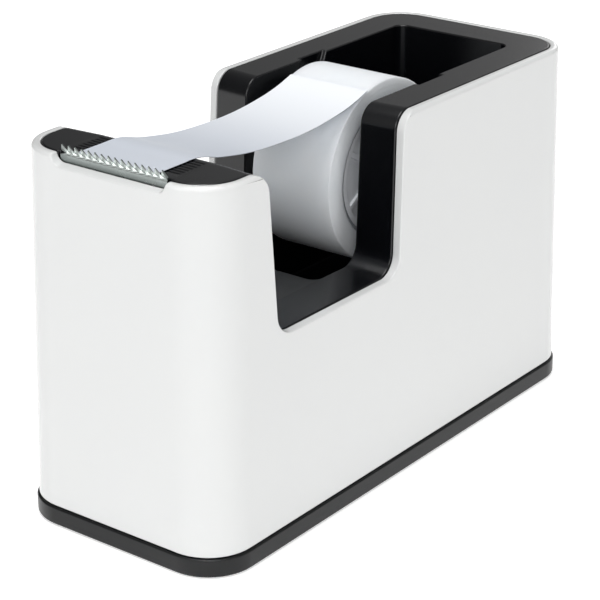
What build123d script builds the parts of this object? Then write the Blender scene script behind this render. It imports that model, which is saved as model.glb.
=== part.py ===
"""Desk tape dispenser: a white sleeve over a black roll well, a weighted base, a cutter blade and one roll."""
import os
from math import cos, radians, sin

from build123d import *

os.makedirs("parts", exist_ok=True)

# ---------------------------------------------------------------- driving dimensions, mm
# Frame: +Z up from the table, X across, Y along the dispenser with the blade end at -Y.
length = 126.0            # base, front to back
width = 51.0              # base, side to side
height = 76.0             # table to the top rim
base_radius = 10.0        # plan corners of the base

base_step = 0.3           # how far the base stands proud of the sleeve all round
foot_gap = 0.25           # the mat holds the base this far off the table
band_top = 4.0            # top of the visible base band
shell_bottom = 4.2        # a 0.2 shadow line runs between the band and the sleeve
taper_x = 1.2             # the sleeve draws in by this much a side over the full height
taper_y = 1.5             # and by this much at each end
shell_radius = 9.7        # plan corners of the sleeve
shell_wall = 1.8
shell_round = 0.9         # rounding of the sleeve's top outer edge

liner_gap = 0.15          # play between the sleeve and the liner inside it
liner_wall = 1.6          # hidden skirt of the liner
rim_plate = 2.4           # thickness of the deck and the rear rim
wall_web = 2.4            # liner walls around the well

notch_floor = 44.0        # height of the ledges each side of the well
notch_front_top = -44.4   # front face of the notch at rim height
notch_front_low = -42.2   # and at the ledge
notch_rear_top = -3.7     # rear face of the notch at rim height
notch_rear_low = -5.2     # and at the ledge
notch_radius = 4.0        # all four corners of the notch in side view
notch_flare = 0.8         # the cut faces open out by this much towards the outside

well_half = 14.1          # half width of the roll well
well_front = -18.0
well_rear = 50.2
well_floor = 29.0
well_radius = 2.2         # plan corners of the well

tape_width = 19.0
roll_y = 11.2             # roll axis
roll_z = 57.8
roll_radius = 19.0        # part-used roll: about ten metres left
core_outer = 14.05
core_inner = 12.95
roll_bore = 14.1          # inside of the wound tape, a hair over the core
hub_radius = 12.9
axle_radius = 3.8
axle_half = 14.75         # half the length over both stub axles
slot_play = 0.1           # radial play of an axle in its slot
slot_depth = 1.05         # how deep the slots are cut into the well walls
slot_slope = 0.43         # the slots lean back by this much for each millimetre up

blade_width = 25.4
blade_thick = 0.5
tooth_count = 16
tooth_height = 1.7
blade_lean = 8.0          # degrees, forwards
blade_y = -59.2           # middle of the blade where it passes the recess
blade_z = 75.3
blade_rise = 0.6          # from there up to the valleys between the teeth
blade_drop = 9.3          # and down to its folded foot
foot_depth = 3.5

groove_count = 7
groove_pitch = 1.13
groove_width = 0.55
groove_depth = 0.5
groove_first = -49.0
groove_half = 12.6        # half length of the deck grooves

leader_thick = 0.2        # the free tape, drawn thick enough to be a solid
leader_gap = 0.1          # play between the tape and what it lies on

mat_thick = 1.15
screw_radius = 1.48
screw_x = 16.5
screw_front = -52.0
screw_rear = 54.0
post_top = 9.0

big = 2 * height          # cutting blocks run this far past the part


def sleeve_size(z, inset):
    """Width, length and corner radius of the tapering sleeve at height z, inset from its outside."""
    rise = z / height
    across = width - 2 * (base_step + taper_x * rise + inset)
    along = length - 2 * (base_step + taper_y * rise + inset)
    return across, along, shell_radius - inset


def sleeve_block(z_low, z_high, inset, mode=Mode.ADD):
    """A block that follows the sleeve's taper between two heights."""
    sections = []
    for z in (z_low, z_high):
        with BuildSketch(Plane.XY.offset(z)) as section:
            RectangleRounded(*sleeve_size(z, inset))
        sections.append(section.sketch.face())
    loft(sections, mode=mode)


def notch_section(x, flare):
    """Side-view outline of the U notch at one X, opened out by flare."""
    front_top = notch_front_top - flare
    front_low = notch_front_low - flare
    rear_low = notch_rear_low + flare
    rear_top = notch_rear_top + flare
    floor = notch_floor - flare
    lead = 2 * notch_radius
    with BuildSketch(Plane.YZ.offset(x)) as section:
        with BuildLine():
            Polyline(
                (front_top - lead, big),
                (front_top - lead, height),
                (front_top, height),
                (front_low, floor),
                (rear_low, floor),
                (rear_top, height),
                (rear_top + lead, height),
                (rear_top + lead, big),
                close=True,
            )
        make_face()
        fillet(section.vertices().sort_by(Axis.X)[2:-2], notch_radius)
    return section.sketch.face()


def cut_notch():
    """Cut the U notch right across: straight over the well, flared through both side walls."""
    extrude(notch_section(-well_half, 0), amount=2 * well_half, mode=Mode.SUBTRACT)
    for side in (1, -1):
        sections = [notch_section(side * well_half, 0), notch_section(side * width / 2, notch_flare)]
        loft(sections, mode=Mode.SUBTRACT)


def block(x, y, z, mode=Mode.ADD):
    """A plain block between pairs of x, y and z."""
    with BuildSketch(Plane.XY.offset(z[0])) as section:
        with Locations(((x[0] + x[1]) / 2, (y[0] + y[1]) / 2)):
            Rectangle(x[1] - x[0], y[1] - y[0])
    extrude(section.sketch, amount=z[1] - z[0], mode=mode)


def disc(x_low, x_high, radius, mode=Mode.ADD):
    """A disc on the roll's axis between two X positions."""
    with BuildSketch(Plane.YZ.offset(x_low)) as section:
        with Locations((roll_y, roll_z)):
            Circle(radius)
    extrude(section.sketch, amount=x_high - x_low, mode=mode)


# The blade's own plane: X along the teeth, Y up the blade, Z out of its front face.
lean = radians(blade_lean)
blade_plane = Plane(origin=(0, blade_y, blade_z), x_dir=(1, 0, 0), z_dir=(0, -cos(lean), -sin(lean)))

screw_places = [(x, y) for x in (-screw_x, screw_x) for y in (screw_front, screw_rear)]

# ---------------------------------------------------------------- outer shell
# A drafted sleeve, open at the top and bottom, with the notch and a scooped recess for the blade.
recess_floor = 74.5
recess_half = 12.4
recess_fall = 0.9         # how far the recess's floor drops towards the outside
recess_radius = 1.3

with BuildPart() as outer_shell:
    sleeve_block(shell_bottom, height, 0)
    fillet(outer_shell.faces().sort_by(Axis.Z)[-1].edges(), shell_round)
    sleeve_block(shell_bottom, height, shell_wall, mode=Mode.SUBTRACT)
    cut_notch()
    for y, fall in ((-length / 2, recess_fall), (-length / 2 + 4, 0)):
        with BuildSketch(Plane.XZ.offset(-y)):
            with BuildLine():
                Polyline(
                    (-recess_half, recess_floor - fall),
                    (recess_half, recess_floor - fall),
                    (recess_half + recess_radius, height + 1),
                    (-recess_half - recess_radius, height + 1),
                    close=True,
                )
            make_face()
            fillet(vertices().sort_by(Axis.Y)[:2], recess_radius)
    loft(mode=Mode.SUBTRACT)
outer_shell.part.label = "outer_shell"
export_step(outer_shell.part, "parts/outer_shell.step")

# ---------------------------------------------------------------- inner liner
# One moulding: deck, rear rim, ledges, roll well and a skirt that slides inside the sleeve.
liner_inset = shell_wall + liner_gap
hollow_inset = liner_inset + liner_wall
liner_bottom = 5.0
boss_radius = 3.2
boss_top = 24.0
wall_half = 21.0          # the liner's cross walls run out into its skirt
seat = (roll_y, roll_z)
mouth = (roll_y + slot_slope * (height + 6 - roll_z), height + 6)
slot_middle = ((seat[0] + mouth[0]) / 2, (seat[1] + mouth[1]) / 2)

with BuildPart() as inner_liner:
    sleeve_block(liner_bottom, height, liner_inset)
    sleeve_block(liner_bottom, height - rim_plate, hollow_inset, mode=Mode.SUBTRACT)
    # ledge plate, the walls in front of and behind the notch, and the wall behind the blade
    block((-wall_half, wall_half), (notch_front_low - 2, notch_rear_low + 2), (notch_floor - 2.4, height))
    block((-wall_half, wall_half), (notch_front_top - 2.6, notch_front_low + 2), (notch_floor - 2.4, height))
    block((-wall_half, wall_half), (notch_rear_low - 2, notch_rear_top + 2.6), (notch_floor - 2.4, height))
    block((-15.5, 15.5), (-58.4, -55.4), (60, height))
    # the roll well: a solid block first, then its hollow
    block(
        (-well_half - wall_web, well_half + wall_web),
        (well_front - wall_web, well_rear + wall_web),
        (well_floor - 2, height),
    )
    cut_notch()
    with BuildSketch(Plane.XY.offset(well_floor)):
        with Locations((0, (well_front + well_rear) / 2)):
            RectangleRounded(2 * well_half, well_rear - well_front, well_radius)
    extrude(amount=height, mode=Mode.SUBTRACT)
    # slots for the stub axles, leaning back towards the top
    with BuildSketch(Plane.YZ.offset(-well_half - slot_depth)):
        SlotCenterPoint(slot_middle, mouth, 2 * (axle_radius + slot_play))
    extrude(amount=2 * (well_half + slot_depth), mode=Mode.SUBTRACT)
    # seat for the blade in the front face, and the slit that its foot hooks into
    with BuildSketch(blade_plane.offset(-blade_thick)):
        with Locations((0, -5)):
            Rectangle(blade_width + 1.4, 12)
    extrude(amount=4, mode=Mode.SUBTRACT)
    with BuildSketch(blade_plane):
        with Locations((0, -blade_drop + 0.3)):
            Rectangle(blade_width - 5, 1.1)
    extrude(amount=-6, mode=Mode.SUBTRACT)
    # fine grooves across the deck
    with BuildSketch(Plane.XY.offset(height - groove_depth)):
        for index in range(groove_count):
            with Locations((0, groove_first - index * groove_pitch)):
                Rectangle(2 * groove_half, groove_width)
    extrude(amount=2, mode=Mode.SUBTRACT)
    # screw bosses with webs out to the skirt
    for x, y in screw_places:
        with BuildSketch(Plane.XY.offset(post_top + 0.1)):
            with Locations((x, y)):
                Circle(boss_radius)
            with Locations((x + (2.6 if x > 0 else -2.6), y)):
                Rectangle(5.4, 1.8)
        extrude(amount=boss_top - post_top - 0.1)
    with BuildSketch(Plane.XY.offset(post_top)):
        with Locations(*screw_places):
            Circle(screw_radius + 0.02)
    extrude(amount=11, mode=Mode.SUBTRACT)
inner_liner.part.label = "inner_liner"
export_step(inner_liner.part, "parts/inner_liner.step")

# ---------------------------------------------------------------- base
# A shallow tray: visible band, locating lip inside the liner, screw posts and ribs round the weights.
lip_inset = hollow_inset + 0.2
lip_wall = 1.6
tray_floor = 2.8
mat_recess = foot_gap + 0.95
mat_size = (43.0, 118.0, 7.0)

with BuildPart() as base_tray:
    with BuildSketch(Plane.XY.offset(foot_gap)):
        RectangleRounded(width, length, base_radius)
    extrude(amount=band_top - foot_gap)
    chamfer(base_tray.faces().sort_by(Axis.Z)[0].edges(), 0.4)
    sleeve_block(band_top, post_top, lip_inset)
    sleeve_block(tray_floor, post_top, lip_inset + lip_wall, mode=Mode.SUBTRACT)
    for x, y in screw_places:
        with BuildSketch(Plane.XY.offset(tray_floor)):
            with Locations((x, y)):
                Circle(4)
        extrude(amount=post_top - tray_floor)
    for y in (-47.4, -20.9, 49.6):
        block((-13, 13), (y - 0.8, y + 0.8), (tray_floor, 8))
    with BuildSketch(Plane.XY):
        RectangleRounded(*mat_size)
    extrude(amount=mat_recess, mode=Mode.SUBTRACT)
    with Locations(*[(x, y, mat_recess) for x, y in screw_places]):
        with Locations(Rotation(180, 0, 0)):
            CounterBoreHole(radius=1.7, counter_bore_radius=3.1, counter_bore_depth=1.8, depth=20)
base_tray.part.label = "base_tray"
export_step(base_tray.part, "parts/base_tray.step")

# ---------------------------------------------------------------- anti-slip mat
with BuildPart() as anti_slip_mat:
    with BuildSketch(Plane.XY):
        RectangleRounded(mat_size[0] - 0.4, mat_size[1] - 0.4, mat_size[2] - 0.2)
    extrude(amount=mat_thick)
anti_slip_mat.part.label = "anti_slip_mat"
export_step(anti_slip_mat.part, "parts/anti_slip_mat.step")

# ---------------------------------------------------------------- base screws
# Four pan-head screws, hidden by the mat, pull the base up against the liner.
with BuildPart() as base_screws:
    with BuildSketch(Plane.XY.offset(mat_recess + 0.02)):
        with Locations(*screw_places):
            Circle(2.8)
    extrude(amount=1.75)
    with BuildSketch(Plane.XY.offset(mat_recess + 1)):
        with Locations(*screw_places):
            Circle(screw_radius)
    extrude(amount=16)
    chamfer(base_screws.faces().group_by(Axis.Z)[0].edges(), 0.5)
base_screws.part.label = "base_screws"
export_step(base_screws.part, "parts/base_screws.step")

# ---------------------------------------------------------------- weights and their pads
# A short block stands in the front tower and a long slab lies under the well, each on foam pads.
pad_top = tray_floor + 1

with BuildPart() as ballast_front:
    block((-17, 17), (-46.4, -22), (pad_top, 26))
    chamfer(ballast_front.edges().filter_by(Axis.Z), 1.5)
ballast_front.part.label = "ballast_front"
export_step(ballast_front.part, "parts/ballast_front.step")

with BuildPart() as ballast_floor:
    block((-17, 17), (-19.8, 48.6), (pad_top, 15.8))
    chamfer(ballast_floor.edges().filter_by(Axis.Z), 1.5)
ballast_floor.part.label = "ballast_floor"
export_step(ballast_floor.part, "parts/ballast_floor.step")

with BuildPart() as ballast_pads:
    for y in (-34.2, -8.0, 14.4, 36.8):
        block((-14, 14), (y - 5, y + 5), (tray_floor, pad_top))
ballast_pads.part.label = "ballast_pads"
export_step(ballast_pads.part, "parts/ballast_pads.step")

# ---------------------------------------------------------------- cutter blade
# Thin steel strip: saw teeth along the top, a folded foot hooked through the liner.
tooth_pitch = blade_width / tooth_count
teeth = [(-blade_width / 2, blade_rise)]
for index in range(tooth_count):
    left = -blade_width / 2 + index * tooth_pitch
    teeth.append((left + tooth_pitch * 0.45, blade_rise + tooth_height))
    teeth.append((left + tooth_pitch, blade_rise))

with BuildPart() as cutter_blade:
    with BuildSketch(blade_plane.offset(-blade_thick / 2)):
        with BuildLine():
            Polyline(*teeth, (blade_width / 2, -blade_drop), (-blade_width / 2, -blade_drop), close=True)
        make_face()
    extrude(amount=blade_thick)
    with BuildSketch(blade_plane.offset(-blade_thick / 2)):
        with Locations((0, -blade_drop + blade_thick / 2)):
            Rectangle(blade_width - 6, blade_thick)
    extrude(amount=-foot_depth)
cutter_blade.part.label = "cutter_blade"
export_step(cutter_blade.part, "parts/cutter_blade.step")

# ---------------------------------------------------------------- hub halves
# A two-part spool: each half has a ribbed face and a stub axle, and the left spigot plugs into the right.
face_x = 8.7
hub_wall = 1.5
face_plate = 1.8
spigot_radius = 9.4


def hub_half(side):
    """One half of the spool, on the +X or -X side."""
    inner = side * 0.05
    face = side * face_x
    disc(inner, face, hub_radius)
    disc(inner, side * (face_x - face_plate), hub_radius - hub_wall, mode=Mode.SUBTRACT)
    # shallow dish between the rim and the axle, crossed by six ribs
    disc(side * (face_x - 0.7), face, hub_radius - 1.3, mode=Mode.SUBTRACT)
    with BuildSketch(Plane.YZ.offset(side * (face_x - 0.7))) as ribs:
        with Locations((roll_y, roll_z)):
            Circle(axle_radius + 1.5)
            for turn in (0, 60, 120):
                Rectangle(2 * (hub_radius - 1), 1.2, rotation=turn)
    extrude(ribs.sketch, amount=side * 0.5)
    disc(side * (face_x - 0.8), side * axle_half, axle_radius)


with BuildPart() as hub_left:
    hub_half(-1)
    chamfer(hub_left.faces().sort_by(Axis.X)[0].edges(), 0.5)
    disc(-face_x + face_plate - 0.2, 4, spigot_radius)
    disc(-face_x + face_plate - 0.2, 4, spigot_radius - hub_wall, mode=Mode.SUBTRACT)
hub_left.part.label = "hub_left"
export_step(hub_left.part, "parts/hub_left.step")

with BuildPart() as hub_right:
    hub_half(1)
    chamfer(hub_right.faces().sort_by(Axis.X)[-1].edges(), 0.5)
    with BuildSketch(Plane.YZ.offset(0.5)):
        with Locations((roll_y, roll_z)):
            Circle(spigot_radius + 0.05 + hub_wall)
            Circle(spigot_radius + 0.05, mode=Mode.SUBTRACT)
    extrude(amount=face_x - face_plate)
hub_right.part.label = "hub_right"
export_step(hub_right.part, "parts/hub_right.step")

# ---------------------------------------------------------------- core and roll
with BuildPart() as tape_core:
    disc(-tape_width / 2, tape_width / 2, core_outer)
    disc(-tape_width / 2, tape_width / 2, core_inner, mode=Mode.SUBTRACT)
tape_core.part.label = "tape_core"
export_step(tape_core.part, "parts/tape_core.step")

with BuildPart() as tape_roll:
    disc(-tape_width / 2, tape_width / 2, roll_radius)
    disc(-tape_width / 2, tape_width / 2, roll_bore, mode=Mode.SUBTRACT)
tape_roll.part.label = "tape_roll"
export_step(tape_roll.part, "parts/tape_roll.step")

# ---------------------------------------------------------------- free tape
# It leaves the roll on a tangent, sags in a slack curve and lies over the deck to the blade.
leave = radians(19.0)     # the tangent point, forward of the top of the roll
leave_radius = roll_radius + leader_gap + leader_thick / 2
deck_line = height + leader_gap + leader_thick / 2
leader_start = (roll_y - leave_radius * sin(leave), roll_z + leave_radius * cos(leave))

with BuildPart() as tape_leader:
    with BuildSketch(Plane.YZ.offset(-tape_width / 2)):
        with BuildLine():
            Spline(
                leader_start,
                (-5.0, 73.45),
                (-26.0, 72.6),
                (-40.5, 74.4),
                (-47.2, 76.05),
                (-52.0, deck_line),
                tangents=[(-cos(leave), -sin(leave)), (-1, 0)],
            )
            Line((-52.0, deck_line), (-58.5, deck_line))
        trace(line_width=leader_thick)
    extrude(amount=tape_width)
tape_leader.part.label = "tape_leader"
export_step(tape_leader.part, "parts/tape_leader.step")
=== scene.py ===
"""Desk tape dispenser: white shell, black liner, weighted base, toothed blade, one part-used roll.

Every size is in millimetres until a piece is finished, when its mesh is scaled to metres in the
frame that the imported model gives: +Z up from the table, X across, Y along the dispenser with the
blade end at -Y.
"""

import logging
import math
import random
from collections.abc import Callable, Iterable, Sequence
from dataclasses import dataclass, field
from enum import Enum

import bmesh
import bpy
from bmesh.types import BMEdge, BMesh, BMFace, BMVert
from bpy.types import Material, Node, NodeSocket, NodeTree, Object
from mathutils import Matrix, Vector


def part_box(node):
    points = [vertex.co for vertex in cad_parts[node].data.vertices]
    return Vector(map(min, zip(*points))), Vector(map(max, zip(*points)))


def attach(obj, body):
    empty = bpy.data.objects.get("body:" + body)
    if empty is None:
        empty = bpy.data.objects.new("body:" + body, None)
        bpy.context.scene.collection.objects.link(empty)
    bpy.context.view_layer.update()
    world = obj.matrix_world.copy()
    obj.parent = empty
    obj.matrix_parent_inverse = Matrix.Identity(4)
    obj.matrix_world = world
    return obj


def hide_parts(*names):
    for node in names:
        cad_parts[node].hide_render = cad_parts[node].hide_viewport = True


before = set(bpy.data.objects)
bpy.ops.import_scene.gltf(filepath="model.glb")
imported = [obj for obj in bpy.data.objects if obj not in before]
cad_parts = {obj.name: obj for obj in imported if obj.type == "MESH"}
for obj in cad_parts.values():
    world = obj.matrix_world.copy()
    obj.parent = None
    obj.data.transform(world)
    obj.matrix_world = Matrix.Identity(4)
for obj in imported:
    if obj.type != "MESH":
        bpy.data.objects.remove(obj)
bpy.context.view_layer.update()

Pair = tuple[float, float]
Point = tuple[float, float, float]

MM = 0.001
CORNER_STEPS = 12
WELD = 0.002
HAIR = 0.02  # parts outlines of one height, so that they bridge the right way round
OVERCUT = 6.0  # how far a cutting tool stands out of what it cuts
SHARP_TURN = math.radians(34.0)
AXIS_X = Vector((1.0, 0.0, 0.0))

log = logging.getLogger("dispenser")


class Body(Enum):
    """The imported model's bodies, which pieces ride on."""

    DISPENSER = "dispenser"
    CARRIER = "roll_carrier"
    ROLL = "roll"


class Slot(Enum):
    """The record's material slots."""

    SHELL = "white_shell"
    LINER = "black_liner"
    BASE = "black_base"
    BLADE = "blade_steel"
    HUB = "hub"
    CORE = "core"
    TAPE = "tape"


class Cut(Enum):
    """How one workpiece acts on another."""

    AWAY = "DIFFERENCE"
    ONTO = "UNION"


# ---------------------------------------------------------------- finishes


def linear(code: str) -> tuple[float, float, float, float]:
    """Turn an sRGB hex colour into linear RGBA.

    Args:
        code: The colour as "#RRGGBB".

    Returns:
        Linear red, green, blue and an alpha of one.
    """
    channels = (int(code[start : start + 2], 16) / 255 for start in (1, 3, 5))
    red, green, blue = (
        c / 12.92 if c <= 0.04045 else ((c + 0.055) / 1.055) ** 2.4 for c in channels
    )
    return red, green, blue, 1.0


def add_node(
    tree: NodeTree,
    kind: str,
    inputs: dict[str | int, object] | None = None,
    links: dict[str | int, NodeSocket] | None = None,
    **settings: object,
) -> Node:
    """Add a node with its settings, socket values and links.

    Args:
        tree: The node tree it goes into.
        kind: The node's type name.
        inputs: Values for its input sockets, by name or index.
        links: Output sockets to link from, by input name or index.
        **settings: Attributes of the node itself.

    Returns:
        The new node.
    """
    node = tree.nodes.new(kind)
    for name, value in settings.items():
        setattr(node, name, value)
    for name, value in (inputs or {}).items():
        node.inputs[name].default_value = value
    for name, socket in (links or {}).items():
        tree.links.new(socket, node.inputs[name])
    return node


@dataclass(frozen=True)
class Finish:
    """What every finish shares: a colour and a roughness that drift a little, and a relief."""

    name: str
    colour: str
    drift: str
    roughness: float
    gloss: float = 0.5
    patch: float = 18.0
    smear: float = 0.04
    depth: float = 0.0
    strength: float = 1.0

    def material(self) -> Material:
        """Build the finish.

        Returns:
            A node material.
        """
        made = bpy.data.materials.new(self.name)
        made.use_nodes = True
        tree = made.node_tree
        tree.nodes.clear()
        place = add_node(tree, "ShaderNodeTexCoord").outputs["Object"]
        patches = add_node(
            tree,
            "ShaderNodeTexNoise",
            {"Scale": 1 / (self.patch * MM), "Detail": 4.0, "Roughness": 0.55},
            {"Vector": place},
        ).outputs[0]
        colour = add_node(
            tree,
            "ShaderNodeMix",
            {6: linear(self.colour), 7: linear(self.drift)},
            {0: patches},
            data_type="RGBA",
        ).outputs[2]
        worn = add_node(
            tree,
            "ShaderNodeMapRange",
            {3: self.roughness - self.smear, 4: self.roughness + self.smear},
            {0: patches},
        ).outputs[0]
        shader = add_node(
            tree,
            "ShaderNodeBsdfPrincipled",
            {"Specular IOR Level": self.gloss},
            {"Base Color": colour, "Roughness": worn},
        )
        height = self.relief(tree, place)
        if height is not None:
            bump = add_node(
                tree,
                "ShaderNodeBump",
                {"Strength": self.strength, "Distance": self.depth * MM},
                {"Height": height},
            ).outputs[0]
            tree.links.new(bump, shader.inputs["Normal"])
        self.dress(tree, shader, place)
        add_node(tree, "ShaderNodeOutputMaterial", links={"Surface": shader.outputs[0]})
        return made

    def relief(self, tree: NodeTree, place: NodeSocket) -> NodeSocket | None:
        """The height of the surface's texture; the plain finish has none."""
        return None

    def dress(self, tree: NodeTree, shader: Node, place: NodeSocket) -> None:
        """Add what only this kind of finish has; the plain one adds nothing."""


@dataclass(frozen=True)
class MouldedPlastic(Finish):
    """Injection-moulded styrene or ABS: the tool's fine grain, or faint waves if polished."""

    grain: float = 0.3
    depth: float = 0.004
    coat: float = 0.0
    coat_roughness: float = 0.08

    def relief(self, tree: NodeTree, place: NodeSocket) -> NodeSocket:
        """The tool's grain."""
        scale = {"Scale": 1 / (self.grain * MM), "Detail": 2.0}
        return add_node(tree, "ShaderNodeTexNoise", scale, {"Vector": place}).outputs[0]

    def dress(self, tree: NodeTree, shader: Node, place: NodeSocket) -> None:
        """Set the polished skin."""
        shader.inputs["Coat Weight"].default_value = self.coat
        shader.inputs["Coat Roughness"].default_value = self.coat_roughness


@dataclass(frozen=True)
class RolledSteel(Finish):
    """Bright rolled steel strip: fine lines run along it and stretch its reflections."""

    line: float = 0.12
    stretch: float = 0.04
    depth: float = 0.0015
    strength: float = 0.6

    def relief(self, tree: NodeTree, place: NodeSocket) -> NodeSocket:
        """Rolling lines along X."""
        along = {"Scale": (self.stretch, 1.0, 1.0)}
        run = add_node(tree, "ShaderNodeMapping", along, {"Vector": place}).outputs[0]
        scale = {"Scale": 1 / (self.line * MM), "Detail": 3.0}
        return add_node(tree, "ShaderNodeTexNoise", scale, {"Vector": run}).outputs[0]

    def dress(self, tree: NodeTree, shader: Node, place: NodeSocket) -> None:
        """Make it metal."""
        shader.inputs["Metallic"].default_value = 1.0


@dataclass(frozen=True)
class Cellular(Finish):
    """A surface of small pits or cells."""

    cell: float = 0.6
    metal: float = 0.0

    def relief(self, tree: NodeTree, place: NodeSocket) -> NodeSocket:
        """The cells."""
        scale = {"Scale": 1 / (self.cell * MM)}
        cells = add_node(tree, "ShaderNodeTexVoronoi", scale, {"Vector": place})
        return cells.outputs["Distance"]

    def dress(self, tree: NodeTree, shader: Node, place: NodeSocket) -> None:
        """Set how metallic it is."""
        shader.inputs["Metallic"].default_value = self.metal


@dataclass(frozen=True)
class CastMetal(Cellular):
    """Sand-cast iron: a pitted, dull surface."""

    cell: float = 0.8
    metal: float = 0.8
    depth: float = 0.06
    strength: float = 0.7


@dataclass(frozen=True)
class Elastomer(Cellular):
    """Foam or sheet rubber: open cells, no gloss."""

    depth: float = 0.08
    strength: float = 0.8


@dataclass(frozen=True)
class TapeFilm(Finish):
    """Matt acetate film: milky and faintly streaked along its length."""

    streak: float = 0.7
    stretch: float = 0.06
    depth: float = 0.004
    strength: float = 0.5
    veil: float = 0.0
    veil_depth: float = 4.0

    def relief(self, tree: NodeTree, place: NodeSocket) -> NodeSocket:
        """Streaks along Y."""
        along = {"Scale": (1.0, self.stretch, self.stretch)}
        run = add_node(tree, "ShaderNodeMapping", along, {"Vector": place}).outputs[0]
        scale = {"Scale": 1 / (self.streak * MM), "Detail": 2.0}
        return add_node(tree, "ShaderNodeTexNoise", scale, {"Vector": run}).outputs[0]

    def dress(self, tree: NodeTree, shader: Node, place: NodeSocket) -> None:
        """Let a little light into the film."""
        shader.inputs["Subsurface Weight"].default_value = self.veil
        shader.inputs["Subsurface Radius"].default_value = (1.0, 1.0, 1.0)
        shader.inputs["Subsurface Scale"].default_value = self.veil_depth * MM


@dataclass(frozen=True)
class WoundFilm(TapeFilm):
    """A wound roll of film: its edges show as fine rings round the roll's axis."""

    layer: float = 0.45
    layer_depth: float = 0.03
    layer_strength: float = 0.35
    axle: Pair = (0.0, 0.0)

    def dress(self, tree: NodeTree, shader: Node, place: NodeSocket) -> None:
        """Add the rings to the film's own streaks.

        Args:
            tree: The material's nodes.
            shader: The surface, whose normal already has the streaks.
            place: Where on the object a point is.
        """
        super().dress(tree, shader, place)
        middle = {"Location": (0.0, -self.axle[0] * MM, -self.axle[1] * MM)}
        centred = add_node(tree, "ShaderNodeMapping", middle, {"Vector": place}).outputs[0]
        rings = add_node(
            tree,
            "ShaderNodeTexWave",
            {
                "Scale": 1 / (20 * self.layer * MM),  # the wave has 20 rings per scale
                "Distortion": 0.6,
                "Detail": 3.0,
                "Detail Scale": 0.4,
            },
            {"Vector": centred},
            wave_type="RINGS",
            rings_direction="X",
        ).outputs[1]
        bump = add_node(
            tree,
            "ShaderNodeBump",
            {"Strength": self.layer_strength, "Distance": self.layer_depth * MM},
            {"Height": rings, "Normal": shader.inputs["Normal"].links[0].from_socket},
        ).outputs[0]
        tree.links.new(bump, shader.inputs["Normal"])


@dataclass(frozen=True)
class LeaderFilm(TapeFilm):
    """A single layer of film: greyer by painted shade, and whitened by painted light to the lit
    roll's colour over its first stretch off the roll.
    """

    painted_light_colour: str = "#FFFFFF"
    roll_end: float = 0.0
    fade: float = 45.0

    def dress(self, tree: NodeTree, shader: Node, place: NodeSocket) -> None:
        """Fade the film's colour from a painted white like the lit roll's, over the first stretch
        off the roll, to the bare film's greyer painted shade.

        Args:
            tree: The material's nodes.
            shader: The surface, whose colour is the bare film's, darkened by painted shade.
            place: Where on the object a point is.
        """
        super().dress(tree, shader, place)
        along = add_node(tree, "ShaderNodeSeparateXYZ", links={0: place}).outputs[1]
        near = add_node(
            tree,
            "ShaderNodeMapRange",
            {1: (self.roll_end - self.fade) * MM, 2: self.roll_end * MM},
            {0: along},
            interpolation_type="SMOOTHSTEP",
        ).outputs[0]
        # Painted light: towards the roll, the film's colour turns to a painted white like the lit
        # roll's.
        colour = add_node(
            tree,
            "ShaderNodeMix",
            {7: linear(self.painted_light_colour)},
            {0: near, 6: shader.inputs["Base Color"].links[0].from_socket},
            data_type="RGBA",
        ).outputs[2]
        tree.links.new(colour, shader.inputs["Base Color"])


# ---------------------------------------------------------------- the bench


def round_corners(bm: BMesh, verts: Sequence[BMVert], radius: float, steps: int) -> None:
    """Round corners of a flat face.

    Args:
        bm: The mesh.
        verts: The corners.
        radius: Their radius.
        steps: How many edges each corner gets.
    """
    bmesh.ops.bevel(
        bm,
        geom=verts,
        offset=radius,
        offset_type="OFFSET",
        segments=steps,
        profile=0.5,
        affect="VERTICES",
        material=-1,
    )


def draw_out(bm: BMesh, faces: Sequence[BMFace]) -> list[BMVert]:
    """Extrude faces.

    Args:
        bm: The mesh.
        faces: The faces, side by side.

    Returns:
        The far end's vertices, which haven't moved yet.
    """
    made = bmesh.ops.extrude_face_region(bm, geom=faces)["geom"]
    return [part for part in made if isinstance(part, BMVert)]


@dataclass(frozen=True)
class Outline:
    """A rounded rectangle lying flat at one height."""

    half_x: float
    half_y: float
    radius: float
    z: float
    y: float = 0.0

    def draw(self, bm: BMesh) -> list[BMEdge]:
        """Draw the outline.

        Args:
            bm: The mesh it is drawn in.

        Returns:
            Its closed loop of edges.
        """
        before = set(bm.faces)
        verts = bmesh.ops.create_grid(bm, x_segments=1, y_segments=1, size=1.0)["verts"]
        bmesh.ops.scale(bm, vec=(self.half_x, self.half_y, 1.0), verts=verts)
        bmesh.ops.translate(bm, vec=(0.0, self.y, self.z), verts=verts)
        round_corners(bm, verts, self.radius, CORNER_STEPS)
        face = next(f for f in bm.faces if f not in before)
        edges = list(face.edges)
        bmesh.ops.delete(bm, geom=[face], context="FACES_ONLY")
        return edges


@dataclass(frozen=True)
class Form:
    """The drafted outer form that the shell, the liner and the base's lip all follow."""

    width: float
    length: float
    height: float
    step: float = 0.3
    draft_x: float = 1.2
    draft_y: float = 1.5
    radius: float = 9.7

    def at(self, z: float, inset: float = 0.0) -> Outline:
        """Find the form's outline at one height.

        Args:
            z: The height.
            inset: How far it is drawn in from the form's outside.

        Returns:
            The outline.
        """
        rise = z / self.height
        return Outline(
            self.width / 2 - self.step - self.draft_x * rise - inset,
            self.length / 2 - self.step - self.draft_y * rise - inset,
            self.radius - inset,
            z,
        )


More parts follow.
